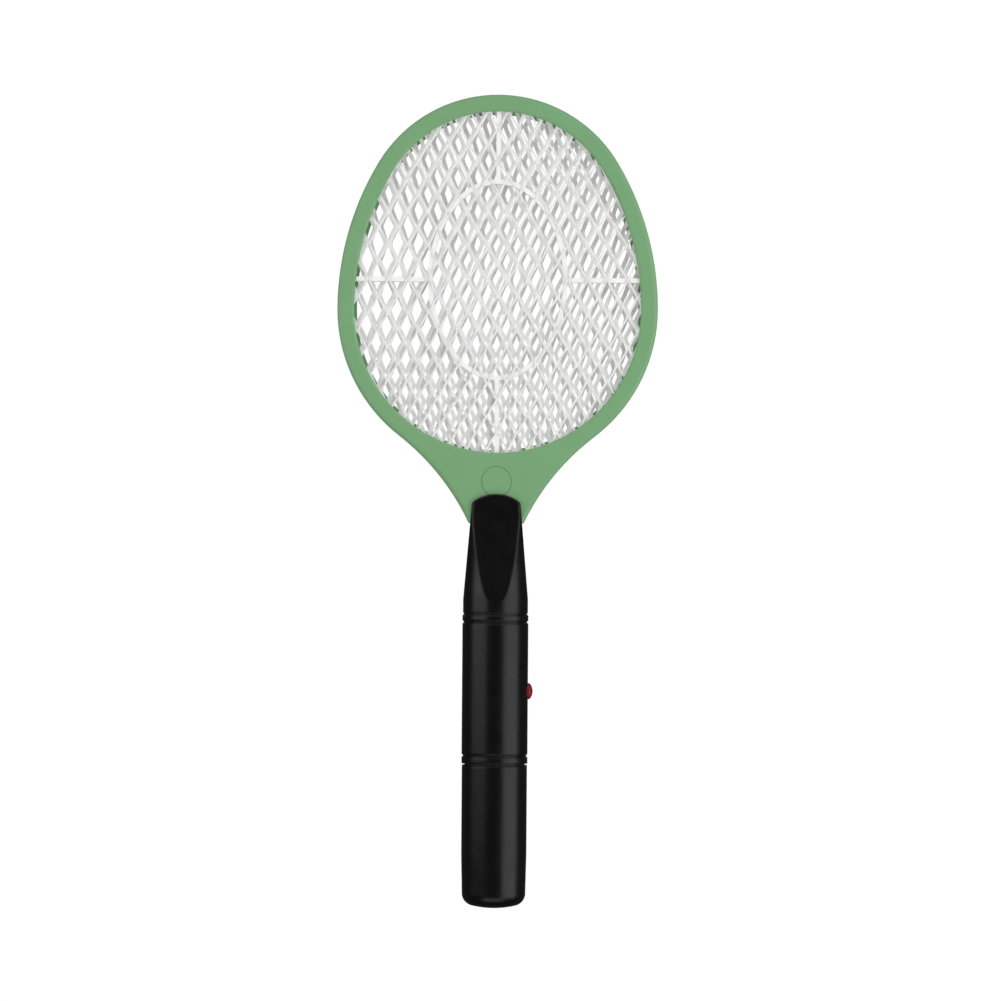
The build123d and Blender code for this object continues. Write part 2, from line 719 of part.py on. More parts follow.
with BuildPart() as push_button:
    tip_x = GRIP_R + BUTTON_PROUD
    dome_x = tip_x - BUTTON_DOME
    with BuildSketch(Plane.XZ):
        with BuildLine():
            Polyline(
                (tip_x, BUTTON_Z),
                (STEM_END_X, BUTTON_Z),
                (STEM_END_X, BUTTON_Z + STEM_R),
                (FLANGE_X - FLANGE_T, BUTTON_Z + STEM_R),
                (FLANGE_X - FLANGE_T, BUTTON_Z + FLANGE_R),
                (FLANGE_X, BUTTON_Z + FLANGE_R),
                (FLANGE_X, BUTTON_Z + BUTTON_R),
                (dome_x, BUTTON_Z + BUTTON_R),
            )
            dome_radius = (BUTTON_R**2 + BUTTON_DOME**2) / (2 * BUTTON_DOME)
            half_turn = sin(atan2(BUTTON_DOME, BUTTON_R)) * dome_radius
            quarter_x = tip_x - dome_radius + sqrt(dome_radius**2 - half_turn**2)
            ThreePointArc((dome_x, BUTTON_Z + BUTTON_R), (quarter_x, BUTTON_Z + half_turn), (tip_x, BUTTON_Z))
        make_face()
    revolve(axis=Axis((0, 0, BUTTON_Z), (1, 0, 0)))
    rim = push_button.edges().filter_by_position(Axis.X, dome_x - FIT, dome_x + FIT)
    fillet(rim.filter_by(GeomType.CIRCLE), radius=BUTTON_ROUND)
finish(push_button, "push_button")

with BuildPart() as switch_plunger:
    with BuildSketch(Plane.YZ.offset(STEM_END_X)):
        with Locations((0, BUTTON_Z)):
            Circle(STEM_R)
    extrude(amount=-PLUNGER_L)
finish(switch_plunger, "switch_plunger")

with BuildPart() as switch_body:
    with Locations((SWITCH_FACE_X, 0, BUTTON_Z)):
        Box(2 * BOARD_Y, 2 * BOARD_Y, 2 * BOARD_Y, align=(Align.MAX, Align.CENTER, Align.CENTER))
    chamfer(switch_body.edges().filter_by(Axis.X), length=SWITCH_CHAMFER)
    with BuildSketch(Plane.YZ.offset(SWITCH_FACE_X)):
        with Locations((0, BUTTON_Z)):
            Circle(STEM_R + 2 * FIT)
    extrude(amount=-SWITCH_BORE, mode=Mode.SUBTRACT)
    with BuildSketch(Plane.XZ.offset(-BOARD_Y)):
        with Locations(*SWITCH_LEADS):
            Circle(LEAD_R)
    extrude(amount=-LEAD_L)
finish(switch_body, "switch_body")


def coil(name, centre, direction, height, radius, wire_r, turns, cone=0):
    """A wire coil along a direction, its end turns just clear of what it stands between."""
    axis = Vector(*direction)
    start = Vector(*centre) + axis * (wire_r + FIT)
    rise = height - 2 * (wire_r + FIT)
    with BuildPart() as spring:
        with BuildLine():
            path = Helix(rise / turns, rise, radius, center=start, direction=direction, cone_angle=cone)
        with BuildSketch(Plane(path @ 0, z_dir=path % 0)):
            Circle(wire_r)
        sweep(path=path, is_frenet=True)
    finish(spring, name)


coil(
    "button_spring",
    (SWITCH_FACE_X, 0, BUTTON_Z),
    (1, 0, 0),
    FLANGE_X - FLANGE_T - SWITCH_FACE_X,
    radius=BUTTON_COIL_R,
    wire_r=BUTTON_COIL_WIRE_R,
    turns=BUTTON_COIL_TURNS,
)


# ---- circuit board and its parts ------------------------------------------------------------

with BuildPart() as circuit_board:
    with BuildSketch(Plane.XZ.offset(-BOARD_Y)):
        with Locations((BOARD_LEFT_X, BOARD_LOW_Z)):
            Rectangle(SWITCH_FACE_X - BOARD_LEFT_X, BOARD_H, align=(Align.MIN, Align.MIN))
        with Locations(*POSTS):
            Circle(PIN_R + FIT, mode=Mode.SUBTRACT)
        with Locations(*SWITCH_LEADS, *LEAD_PLACES):
            Circle(LEAD_R + FIT, mode=Mode.SUBTRACT)
    extrude(amount=-BOARD_T)
finish(circuit_board, "circuit_board")

with BuildPart() as transformer_core:
    with BuildSketch(Plane.XZ.offset(-CORE_Y - CORE_LEG / 2)):
        with Locations((CORE_X, CORE_Z)):
            Rectangle(CORE_W, CORE_H)
            with GridLocations(CORE_LEG + CORE_GAP, 0, 2, 1):
                Rectangle(CORE_GAP, CORE_H - 2 * CORE_YOKE, mode=Mode.SUBTRACT)
    extrude(amount=CORE_LEG)
finish(transformer_core, "transformer_core")

with BuildPart() as transformer_bobbin:
    for z in (CORE_Z - BOBBIN_H / 2, CORE_Z + BOBBIN_H / 2 - BOBBIN_T):
        with Locations((CORE_X, CORE_Y, z)):
            Box(BOBBIN_W, 2 * (BOARD_Y - CORE_Y), BOBBIN_T, align=STANDING)
    with Locations((CORE_X, CORE_Y, CORE_Z)):
        Box(HUB_W, HUB_W, BOBBIN_H)
        Box(CORE_LEG + 4 * FIT, CORE_LEG + 4 * FIT, BOBBIN_H, mode=Mode.SUBTRACT)
    with BuildSketch(Plane.XZ.offset(-BOARD_Y)):
        with Locations(*TRANSFORMER_LEADS):
            Circle(LEAD_R)
    extrude(amount=-LEAD_L)
finish(transformer_bobbin, "transformer_bobbin")

with BuildPart() as transformer_winding:
    with BuildSketch(Plane.XY.offset(CORE_Z - BOBBIN_H / 2 + BOBBIN_T)):
        with Locations((CORE_X, CORE_Y)):
            RectangleRounded(WINDING_W, WINDING_W, WINDING_ROUND)
            Rectangle(HUB_W, HUB_W, mode=Mode.SUBTRACT)
    extrude(amount=BOBBIN_H - 2 * BOBBIN_T)
finish(transformer_winding, "transformer_winding")

with BuildPart() as hv_capacitor:
    with Locations((FILM_X, BOARD_Y - FILM_STANDOFF, FILM_Z)):
        Box(FILM_W, FILM_D, FILM_H, align=(Align.CENTER, Align.MAX, Align.CENTER))
    fillet(hv_capacitor.edges(), radius=DIPPED_ROUND)
    with BuildSketch(Plane.XZ.offset(-BOARD_Y + PLATE_T)):
        with Locations(*FILM_LEADS):
            Circle(LEAD_R)
    extrude(amount=-LEAD_L - PLATE_T)
finish(hv_capacitor, "hv_capacitor")

with BuildPart() as multiplier_capacitors:
    for z in DISC_Z:
        with BuildSketch(Plane.XY.offset(z - DISC_T / 2)):
            with Locations((DISC_X, DISC_Y)):
                Circle(DISC_R)
        extrude(amount=DISC_T)
    fillet(multiplier_capacitors.edges().filter_by(GeomType.CIRCLE), radius=DIPPED_ROUND)
    with BuildSketch(Plane.XZ.offset(-DISC_Y)):
        with Locations(*DISC_LEADS):
            Circle(LEAD_R)
    extrude(amount=-LEAD_L - BOARD_Y + DISC_Y)
finish(multiplier_capacitors, "multiplier_capacitors")


def axial_part(start, end, body_r, body_l):
    """A part lying between two holes of the board, on bent leads: start and end are (x, z)."""
    (x0, z0), (x1, z1) = start, end
    height = BOARD_Y - body_r - PLATE_T
    upright = x0 == x1
    middle = ((x0 + x1) / 2, height, (z0 + z1) / 2)
    span = abs(x1 - x0) + abs(z1 - z0)
    turn = (0, 0, 0) if upright else (0, 90, 0)
    with BuildPart() as lying:
        with Locations(Location(middle, turn)):
            Cylinder(body_r, body_l)
        fillet(lying.edges().filter_by(GeomType.CIRCLE), radius=body_r / 3)
        with Locations(Location(middle, turn)):
            Cylinder(LEAD_R, span)
        with BuildSketch(Plane.XZ.offset(-height)):
            with Locations(start, end):
                Circle(LEAD_R)
        extrude(amount=-LEAD_L - BOARD_Y + height)
    return lying.part


with BuildPart() as rectifier_diodes:
    for z in DIODE_Z:
        add(axial_part((AXIAL_X[0], z), (AXIAL_X[1], z), DIODE_R, DIODE_L))
finish(rectifier_diodes, "rectifier_diodes")

with BuildPart() as resistors:
    for low, high in RESISTOR_ENDS:
        add(axial_part(low, high, RESISTOR_R, RESISTOR_L))
finish(resistors, "resistors")

with BuildPart() as transistor:
    with BuildSketch(Plane.XZ.offset(-BOARD_Y + TRANSISTOR_STANDOFF)):
        with Locations((TRANSISTOR_X, TRANSISTOR_Z)):
            Circle(TRANSISTOR_R)
        with Locations((TRANSISTOR_X, TRANSISTOR_Z + TRANSISTOR_R / 2)):
            Rectangle(3 * TRANSISTOR_R, TRANSISTOR_R, align=(Align.CENTER, Align.MIN), mode=Mode.SUBTRACT)
    extrude(amount=2 * TRANSISTOR_R)
    with BuildSketch(Plane.XZ.offset(-BOARD_Y + TRANSISTOR_STANDOFF)):
        with Locations(*TRANSISTOR_LEADS):
            Circle(LEAD_R)
    extrude(amount=-LEAD_L - TRANSISTOR_STANDOFF)
finish(transistor, "transistor")


# ---- battery holder, batteries and contacts -------------------------------------------------

with BuildPart() as battery_holder:
    with BuildSketch(Plane.XZ):
        with BuildLine():
            Polyline(
                (0, HOLDER_END_Z),
                (TRAY_R, HOLDER_END_Z),
                (TRAY_R, SPIGOT_END_Z),
                (SPIGOT_R, SPIGOT_END_Z),
                (SPIGOT_R, GRIP_END_Z),
                (HOLDER_HEAD_R, GRIP_END_Z),
                (HOLDER_HEAD_R, HOLDER_TOP_Z),
                (CUP_R, HOLDER_TOP_Z),
                (CUP_R, CUP_FLOOR_Z),
                (0, CUP_FLOOR_Z),
                close=True,
            )
        make_face()
    revolve(axis=Axis.Z)
    # Two round troughs with an open front.
    with BuildSketch(Plane.XY.offset(POCKET_END_Z)):
        with Locations((-CELL_X, 0), (CELL_X, 0)):
            Circle(CELL_R + POCKET_GAP)
        Rectangle(2 * (CELL_X + CELL_R + POCKET_GAP), 2 * TRAY_R, align=(Align.CENTER, Align.MAX))
    extrude(amount=POCKET_TOP_Z - POCKET_END_Z, mode=Mode.SUBTRACT)
    # The back is hollow too, behind a thin wall.
    with Locations((0, CELL_R + POCKET_GAP + TRAY_WALL, POCKET_END_Z)):
        Box(TRAY_BACK_W, TRAY_R, TRAY_BACK_H, align=ON_Y, mode=Mode.SUBTRACT)
    # The keyway, the contacts' slots and the notch for the lowest handle screw.
    with Locations((0, KEYWAY_Y, HOLDER_END_Z)):
        Box(KEY_W + 4 * POCKET_GAP, TRAY_R, GRIP_END_Z - HOLDER_END_Z, align=ON_Y, mode=Mode.SUBTRACT)
    with Locations((-CELL_X, 0, POCKET_TOP_Z), (CELL_X, 0, POCKET_TOP_Z)):
        Box(
            CONTACT_TAB_W + 2 * POCKET_GAP,
            PLATE_T + 2 * POCKET_GAP,
            CONTACT_SLOT_H,
            align=STANDING,
            mode=Mode.SUBTRACT,
        )
    with BuildSketch(Plane.XZ):
        with Locations((0, HANDLE_SCREWS_Z[-1])):
            Circle(BOSS_R + POCKET_GAP)
            Rectangle(2 * (BOSS_R + POCKET_GAP), 2 * BOSS_R, align=(Align.CENTER, Align.MIN))
    extrude(amount=GRIP_R, both=True, mode=Mode.SUBTRACT)
finish(battery_holder, "battery_holder")


def cell(low_z, x, nub_up):
    """A cylindrical battery cell standing at x, with its nub at the top or the bottom."""
    nub_z = low_z + CELL_BODY if nub_up else low_z - NUB_H
    with BuildPart() as battery:
        with Locations((x, 0, low_z)):
            Cylinder(CELL_R, CELL_BODY, align=STANDING)
        fillet(battery.edges().filter_by(GeomType.CIRCLE), radius=CELL_ROUND)
        with Locations((x, 0, nub_z)):
            Cylinder(NUB_R, NUB_H, align=STANDING)
    return battery


BATTERY_1_LOW = POCKET_TOP_Z - PLATE_T - NUB_H - CELL_BODY
BATTERY_2_LOW = POCKET_END_Z + PLATE_T + NUB_H

battery_1 = cell(BATTERY_1_LOW, -CELL_X, nub_up=True)
finish(battery_1, "battery_1")

battery_2 = cell(BATTERY_2_LOW, CELL_X, nub_up=False)
finish(battery_2, "battery_2")


def end_contact(x):
    """A contact plate under the tray's top wall, with a tab that stands through it."""
    with BuildPart() as contact:
        with Locations((x, 0, POCKET_TOP_Z)):
            Box(CONTACT_W, CONTACT_W, PLATE_T, align=(Align.CENTER, Align.CENTER, Align.MAX))
            Box(CONTACT_TAB_W, PLATE_T, CONTACT_TAB_L, align=STANDING)
    return contact


positive_contact = end_contact(-CELL_X)
finish(positive_contact, "positive_contact")

negative_contact = end_contact(CELL_X)
finish(negative_contact, "negative_contact")

with BuildPart() as bridge_contact:
    with Locations((-CELL_X, 0, POCKET_END_Z), (CELL_X, 0, POCKET_END_Z)):
        Box(CONTACT_W, CONTACT_W, PLATE_T, align=STANDING)
    with Locations((0, 0, POCKET_END_Z)):
        Box(2 * CELL_X, CONTACT_W / 2, PLATE_T, align=(Align.CENTER, Align.MAX, Align.MIN))
finish(bridge_contact, "bridge_contact")

coil(
    "negative_spring",
    (CELL_X, 0, POCKET_TOP_Z - PLATE_T),
    (0, 0, -1),
    POCKET_TOP_Z - PLATE_T - BATTERY_2_LOW - CELL_BODY,
    radius=CONTACT_COIL_R,
    wire_r=CONTACT_COIL_WIRE_R,
    turns=CONTACT_COIL_TURNS,
    cone=CONTACT_CONE,
)
coil(
    "bridge_spring",
    (-CELL_X, 0, POCKET_END_Z + PLATE_T),
    (0, 0, 1),
    BATTERY_1_LOW - POCKET_END_Z - PLATE_T,
    radius=CONTACT_COIL_R,
    wire_r=CONTACT_COIL_WIRE_R,
    turns=CONTACT_COIL_TURNS,
    cone=CONTACT_CONE,
)


# ---- wires ----------------------------------------------------------------------------------


def wire(name, points, radii):
    """A round insulated wire along straight runs joined by tangent arcs."""
    with BuildPart() as lead:
        with BuildLine():
            path = FilletPolyline(*points, radius=radii)
        with BuildSketch(Plane(path @ 0, z_dir=path % 0)):
            Circle(WIRE_R)
        sweep(path=path)
    print(name, "length", round(path.length, 1), "bends", radii, "volume", round(lead.part.volume, 1))
    finish(lead, name)


def head_wire(name, sign, end_z):
    """A wire from the board to a terminal of the meshes."""
    points = [(sign * x, y, z) for x, y, z in HEAD_PATH]
    end_x = points[-1][0]
    wire(name, [*points, (end_x, 0, end_z)], HEAD_WIRE_BENDS)


wire("battery_wire_positive", POSITIVE_PATH, BATTERY_WIRE_BENDS)
wire("battery_wire_negative", NEGATIVE_PATH, BATTERY_WIRE_BENDS)
head_wire("hv_wire", -1, TAB_END_Z - CLIP_FLOOR)
head_wire("ground_wire", 1, TAB_END_Z - PLATE_T)


# ---- battery cover --------------------------------------------------------------------------

with BuildPart() as cover_room:
    with Locations((0, 0, COVER_FLOOR_Z)):
        Cylinder(COVER_BORE, COVER_TOP_Z - COVER_FLOOR_Z, align=STANDING)
    fillet(cover_room.edges().group_by(Axis.Z)[0], radius=COVER_FLOOR_ROUND)

with BuildPart() as battery_cover:
    dome_edge_z = COVER_END_Z + DOME_RISE
    with BuildSketch(Plane.XZ) as cover_profile:
        with BuildLine():
            Polyline(
                (0, COVER_END_Z),
                (0, COVER_TOP_Z),
                (COVER_R, COVER_TOP_Z),
                (COVER_R, BARREL_END_Z),
                (COVER_END_R, dome_edge_z),
            )
            dome_middle = (COVER_END_R / 2, COVER_END_Z + DOME_RISE / 4)
            ThreePointArc((COVER_END_R, dome_edge_z), dome_middle, (0, COVER_END_Z))
        make_face()
        waist = cover_profile.vertices().filter_by_position(Axis.Y, BARREL_END_Z - 1, BARREL_END_Z + 1)
        fillet(waist, radius=COVER_WAIST_ROUND)
    revolve(axis=Axis.Z)
    corner = battery_cover.edges().filter_by_position(Axis.Z, dome_edge_z - FIT, dome_edge_z + FIT)
    fillet(corner, radius=DOME_CORNER)
    chamfer(battery_cover.edges().group_by(Axis.Z)[-1], length=COVER_CHAMFER)
    add(cover_room.part, mode=Mode.SUBTRACT)
    # A key inside the back wall keeps the cover from turning.
    with Locations((0, KEYWAY_Y + POCKET_GAP, COVER_FLOOR_Z + COVER_FLOOR_ROUND)):
        Box(KEY_W, COVER_BORE + ROOT - KEYWAY_Y - POCKET_GAP, KEY_L, align=ON_Y)
finish(battery_cover, "battery_cover")
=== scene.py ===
"""Electric fly swatter: looks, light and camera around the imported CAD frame. Everything is in metres."""
import json
import math

import bmesh
import bpy
from mathutils import Matrix, Vector


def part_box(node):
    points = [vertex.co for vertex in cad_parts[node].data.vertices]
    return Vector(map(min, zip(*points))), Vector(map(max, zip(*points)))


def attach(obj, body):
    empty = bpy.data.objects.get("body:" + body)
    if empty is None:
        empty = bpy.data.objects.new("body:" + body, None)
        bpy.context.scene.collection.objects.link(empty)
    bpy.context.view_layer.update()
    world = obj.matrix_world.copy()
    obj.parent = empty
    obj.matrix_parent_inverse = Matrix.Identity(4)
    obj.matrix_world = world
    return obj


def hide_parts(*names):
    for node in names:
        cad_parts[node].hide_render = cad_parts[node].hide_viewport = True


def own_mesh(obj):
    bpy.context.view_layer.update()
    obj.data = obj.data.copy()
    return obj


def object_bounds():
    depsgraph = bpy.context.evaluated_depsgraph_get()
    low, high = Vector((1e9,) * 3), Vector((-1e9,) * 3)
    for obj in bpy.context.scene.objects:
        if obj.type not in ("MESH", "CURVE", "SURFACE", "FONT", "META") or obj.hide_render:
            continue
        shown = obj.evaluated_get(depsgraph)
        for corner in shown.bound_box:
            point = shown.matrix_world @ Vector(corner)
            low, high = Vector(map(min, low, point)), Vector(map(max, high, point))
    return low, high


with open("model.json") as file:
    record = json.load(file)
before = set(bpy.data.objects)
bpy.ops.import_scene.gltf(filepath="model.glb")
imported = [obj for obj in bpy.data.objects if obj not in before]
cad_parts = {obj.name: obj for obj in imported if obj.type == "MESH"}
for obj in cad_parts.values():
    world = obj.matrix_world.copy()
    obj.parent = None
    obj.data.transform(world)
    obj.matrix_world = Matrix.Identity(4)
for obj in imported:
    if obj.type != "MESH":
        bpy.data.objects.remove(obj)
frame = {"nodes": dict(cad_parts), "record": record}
cad_low, cad_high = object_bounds()
NODES = frame["nodes"]
MM = 0.001

# ---- node helpers ---------------------------------------------------------------------------


class Graph:
    """One material's node tree, with the object's own coordinates at hand."""

    def __init__(self, name):
        self.material = bpy.data.materials.new(name)
        self.material.use_nodes = True
        self.tree = self.material.node_tree
        self.shader = self.tree.nodes["Principled BSDF"]
        self.place = self.node("ShaderNodeTexCoord").outputs["Object"]

    def node(self, kind, **settings):
        made = self.tree.nodes.new(kind)
        for key, value in settings.items():
            setattr(made, key, value)
        return made

    def link(self, source, target):
        self.tree.links.new(source, target)

    def noise(self, size, detail=2.0, rough=0.5, stretch=None):
        """Noise whose features are about size metres across, stretched along the axes if asked."""
        made = self.node("ShaderNodeTexNoise")
        made.inputs["Scale"].default_value = 1.0 / size
        made.inputs["Detail"].default_value = detail
        made.inputs["Roughness"].default_value = rough
        self.link(self.mapped(stretch), made.inputs["Vector"])
        return made.outputs["Fac"]

    def cells(self, size):
        """Distance to the nearest point of a random scatter, about size metres apart."""
        made = self.node("ShaderNodeTexVoronoi")
        made.inputs["Scale"].default_value = 1.0 / size
        self.link(self.place, made.inputs["Vector"])
        return made.outputs["Distance"]

    def wave(self, size, axis="X", distort=0.0):
        """Bands size metres apart across an axis."""
        made = self.node("ShaderNodeTexWave", wave_type="BANDS", bands_direction=axis)
        made.inputs["Scale"].default_value = math.pi / (10.0 * size)
        made.inputs["Distortion"].default_value = distort
        self.link(self.place, made.inputs["Vector"])
        return made.outputs["Fac"]

    def mapped(self, stretch):
        if stretch is None:
            return self.place
        made = self.node("ShaderNodeMapping")
        made.inputs["Scale"].default_value = stretch
        self.link(self.place, made.inputs["Vector"])
        return made.outputs["Vector"]

    def span(self, source, low, high, from_low=0.0, from_high=1.0):
        """A value brought from one range to another."""
        made = self.node("ShaderNodeMapRange")
        made.inputs["From Min"].default_value = from_low
        made.inputs["From Max"].default_value = from_high
        made.inputs["To Min"].default_value = low
        made.inputs["To Max"].default_value = high
        self.link(source, made.inputs["Value"])
        return made.outputs["Result"]

    def math(self, operation, first, second):
        """A sum, product or other operation on two values, either of which may be a number."""
        made = self.node("ShaderNodeMath", operation=operation)
        for socket, value in zip(made.inputs, (first, second)):
            if isinstance(value, (int, float)):
                socket.default_value = value
            else:
                self.link(value, socket)
        return made.outputs["Value"]

    def blend(self, factor, first, second, mode="MIX"):
        """A mix of two colours, either of which may be a tuple."""
        made = self.node("ShaderNodeMix", data_type="RGBA", blend_type=mode)
        self.link(factor, made.inputs["Factor"])
        for socket, value in ((made.inputs[6], first), (made.inputs[7], second)):
            if isinstance(value, tuple):
                socket.default_value = (*value, 1.0)
            else:
                self.link(value, socket)
        return made.outputs[2]

    def edges(self, radius):
        """Near 1 on edges that are sharper than a radius, 0 elsewhere."""
        bevel = self.node("ShaderNodeBevel", samples=4)
        bevel.inputs["Radius"].default_value = radius
        true_normal = self.node("ShaderNodeNewGeometry").outputs["Normal"]
        dot = self.node("ShaderNodeVectorMath", operation="DOT_PRODUCT")
        self.link(bevel.outputs["Normal"], dot.inputs[0])
        self.link(true_normal, dot.inputs[1])
        return self.span(dot.outputs["Value"], 1.0, 0.0, 0.80, 0.995)

    def bump(self, height, depth):
        """Relief of that depth in metres from a 0..1 height, on top of any relief there already."""
        made = self.node("ShaderNodeBump")
        made.inputs["Distance"].default_value = depth
        self.link(height, made.inputs["Height"])
        normal = self.shader.inputs["Normal"]
        if normal.is_linked:
            self.link(normal.links[0].from_socket, made.inputs["Normal"])
        self.link(made.outputs["Normal"], normal)

    def colour(self, source):
        self.link(source, self.shader.inputs["Base Color"])

    def rough(self, source):
        self.link(source, self.shader.inputs["Roughness"])

    def set(self, **values):
        for key, value in values.items():
            self.shader.inputs[key.replace("_", " ")].default_value = value


def shade(colour, factor):
    """A colour made lighter or darker."""
    return tuple(min(1.0, channel * factor) for channel in colour)


# ---- materials ------------------------------------------------------------------------------


def plastic(name, colour, rough, grain, depth, mottle=0.06, wear=None, ior=1.46, soft=None):
    """Moulded plastic: clouded colour, spark-eroded grain, rubbed patches and paler edges."""
    g = Graph(name)
    if soft is not None:
        rounded = g.node("ShaderNodeBevel", samples=6)
        rounded.inputs["Radius"].default_value = soft
        g.link(rounded.outputs["Normal"], g.shader.inputs["Normal"])
    cloud = g.noise(28 * MM, detail=3.0)
    fine = g.noise(1.1 * MM, detail=2.0)
    tone = g.math("ADD", g.math("MULTIPLY", cloud, 0.75), g.math("MULTIPLY", fine, 0.25))
    base = g.blend(g.span(tone, 0.0, 1.0, 0.3, 0.7), shade(colour, 1 - mottle), shade(colour, 1 + mottle))
    if wear is not None:
        rubbed = g.math("MULTIPLY", g.edges(0.5 * MM), g.span(g.noise(2.5 * MM), 0.15, 0.75, 0.4, 0.6))
        base = g.blend(rubbed, base, wear)
    g.colour(base)
    patches = g.noise(9 * MM, detail=4.0, rough=0.6)
    specks = g.noise(0.5 * MM)
    both = g.math("ADD", g.math("MULTIPLY", patches, 0.7), g.math("MULTIPLY", specks, 0.3))
    g.rough(g.span(both, rough - 0.06, rough + 0.07, 0.3, 0.7))
    g.bump(g.noise(grain, detail=1.0), depth)
    g.bump(g.noise(14 * grain, detail=2.0), depth * 1.5)
    g.set(IOR=ior)
    return g.material


def metal(name, colour, rough, grain, depth, metallic=1.0, brush=None, stain=0.12):
    """Bare or plated metal: drawn or brushed lines, dull spots and a little tarnish."""
    g = Graph(name)
    tarnish = g.noise(6 * MM, detail=4.0, rough=0.65)
    dulled = g.span(tarnish, 0.0, 1.0, 0.35, 0.7)
    base = g.blend(dulled, shade(colour, 1 + stain / 2), shade(colour, 1 - stain))
    spots = g.span(g.cells(1.6 * MM), 1.0, 0.0, 0.02, 0.16)
    g.colour(g.blend(spots, base, shade(colour, 1 - 2 * stain)))
    lines = g.noise(grain, detail=2.0, stretch=brush)
    g.rough(g.span(lines, rough - 0.08, rough + 0.10, 0.3, 0.7))
    g.bump(lines, depth)
    g.set(Metallic=metallic)
    return g.material


GREEN = (0.182, 0.382, 0.178)
BLACK = (0.0022, 0.0023, 0.0021)
BLACK_WEAR = (0.012, 0.012, 0.012)
WHITE = (0.94, 0.94, 0.925)
WHITE_WEAR = (0.80, 0.79, 0.75)
RED = (0.19, 0.007, 0.009)
RED_WEAR = (0.30, 0.03, 0.03)
TRAY_GREY = (0.022, 0.022, 0.023)
TRAY_WEAR = (0.05, 0.05, 0.05)
SOFT_EDGE = 2 * MM  # the handle's edges shine as if rounded this much
ALONG_X = (0.15, 1.0, 1.0)  # brushed lines run along X

green = plastic("green_plastic", GREEN, 0.47, 0.22 * MM, 0.006 * MM, 0.035, shade(GREEN, 1.35))
black = plastic("black_plastic", BLACK, 0.30, 0.24 * MM, 0.006 * MM, 0.12, BLACK_WEAR, 1.43, SOFT_EDGE)
white = plastic("white_plastic", WHITE, 0.42, 0.30 * MM, 0.008 * MM, 0.02, WHITE_WEAR)
red = plastic("red_plastic", RED, 0.34, 0.20 * MM, 0.005 * MM, 0.10, RED_WEAR, 1.43)
tray = plastic("tray_plastic", TRAY_GREY, 0.45, 0.30 * MM, 0.010 * MM, 0.15, TRAY_WEAR)
mesh_metal = metal("mesh_metal", (0.89, 0.89, 0.88), 0.45, 0.35 * MM, 0.010 * MM, metallic=0.10)
screw_steel = metal("screw_steel", (0.55, 0.55, 0.56), 0.30, 0.16 * MM, 0.006 * MM)
contact_metal = metal("contact_metal", (0.72, 0.70, 0.66), 0.24, 0.14 * MM, 0.004 * MM, brush=ALONG_X)


def circuit_board():
    """Phenolic paper board: mottled tan with faint fibres and a thin, uneven varnish."""
    g = Graph("board")
    fibres = g.noise(0.8 * MM, detail=4.0, rough=0.7, stretch=(0.25, 1.0, 1.0))
    clouds = g.noise(9 * MM, detail=2.0)
    tan = g.blend(g.span(fibres, 0.0, 1.0, 0.3, 0.7), (0.27, 0.155, 0.058), (0.37, 0.225, 0.090))
    g.colour(g.blend(g.span(clouds, 0.0, 0.5, 0.4, 0.7), tan, (0.22, 0.12, 0.045)))
    g.rough(g.span(g.noise(1.6 * MM), 0.26, 0.44, 0.3, 0.7))
    g.bump(fibres, 0.012 * MM)
    return g.material


def ferrite():
    """Sintered ferrite: near black, with a fine open grain."""
    g = Graph("ferrite")
    pits = g.span(g.cells(0.35 * MM), 0.0, 1.0, 0.05, 0.35)
    g.colour(g.blend(pits, (0.010, 0.010, 0.011), (0.040, 0.039, 0.041)))
    g.rough(g.span(g.noise(0.6 * MM), 0.50, 0.75, 0.3, 0.7))
    g.bump(pits, 0.02 * MM)
    return g.material


def winding_tape():
    """Yellow polyester tape over the winding: overlapping turns and a soft sheen."""
    g = Graph("winding_tape")
    laps = g.wave(2.2 * MM, "Z", 0.4)
    g.colour(g.blend(g.span(laps, 0.0, 1.0, 0.1, 0.4), (0.42, 0.24, 0.018), (0.66, 0.43, 0.035)))
    g.rough(g.span(g.noise(1.5 * MM), 0.22, 0.34, 0.3, 0.7))
    g.bump(laps, 0.05 * MM)
    return g.material


def lacquer(name, colour, rough, depth):
    """A dipped coat with slow waves, pinholes and pooled colour."""
    g = Graph(name)
    pool = g.noise(3.5 * MM, detail=2.0)
    g.colour(g.blend(g.span(pool, 0.0, 1.0, 0.3, 0.7), shade(colour, 0.8), shade(colour, 1.15)))
    g.rough(g.span(g.noise(1.2 * MM), rough - 0.05, rough + 0.08, 0.3, 0.7))
    g.bump(pool, depth)
    g.bump(g.span(g.cells(0.9 * MM), 0.0, 1.0, 0.0, 0.12), depth / 3)
    return g.material


BARE_END = 1.0 * MM  # uncovered metal at each end of a cell
BAND_SHARE = 0.60  # the lighter band starts this far up
BAND_TOP = 3 * MM


